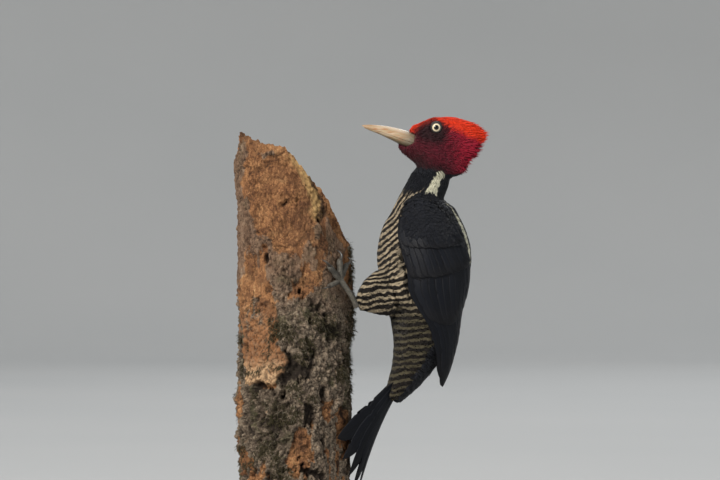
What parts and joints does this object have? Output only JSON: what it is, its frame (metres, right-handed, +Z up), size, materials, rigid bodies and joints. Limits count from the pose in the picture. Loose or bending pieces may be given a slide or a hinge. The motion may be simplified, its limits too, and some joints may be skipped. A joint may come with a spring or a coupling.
{
  "type": "woodpecker model on a display stand",
  "caption": "Life-size red-headed crested woodpecker clinging upright to a cut length of dead trunk, held on a flat base by two short rods; still model.",
  "frame": {"origin": "centre of the underside of the stand's base", "axes": "+Z up; the bird faces -X with its left side towards -Y; the trunk it clings to stands on its -X side"},
  "size_m": [0.2405, 0.15, 0.3928],
  "materials": {
    "plumage_red": "silky scarlet to crimson feathers",
    "plumage_black": "black feathers with a slight gloss",
    "plumage_barred": "soft feathers barred buff and dark brown",
    "bill_horn": "satin ivory horn",
    "eye": "wet, pale yellow iris with a black pupil",
    "leg_skin": "scaly grey skin with horn claws",
    "dead_wood": "weathered bark and soft brown rotten wood",
    "stand_wood": "dark satin varnish",
    "stand_steel": "satin"
  },
  "bodies": {
    "root": {"head": "plumage_red", "crest": "plumage_red", "neck": "plumage_black", "trunk": "plumage_barred", "wing_left": "plumage_black", "wing_right": "plumage_black", "tail": "plumage_black", "thigh_left": "plumage_barred", "thigh_right": "plumage_barred", "foot_left": "leg_skin", "foot_right": "leg_skin", "bill_upper": "bill_horn", "bill_lower": "bill_horn", "eye_left": "eye", "eye_right": "eye", "perch_trunk": "dead_wood", "stand_base": "stand_wood", "stand_rod_1": "stand_steel", "stand_rod_2": "stand_steel"}
  },
  "joints": []
}
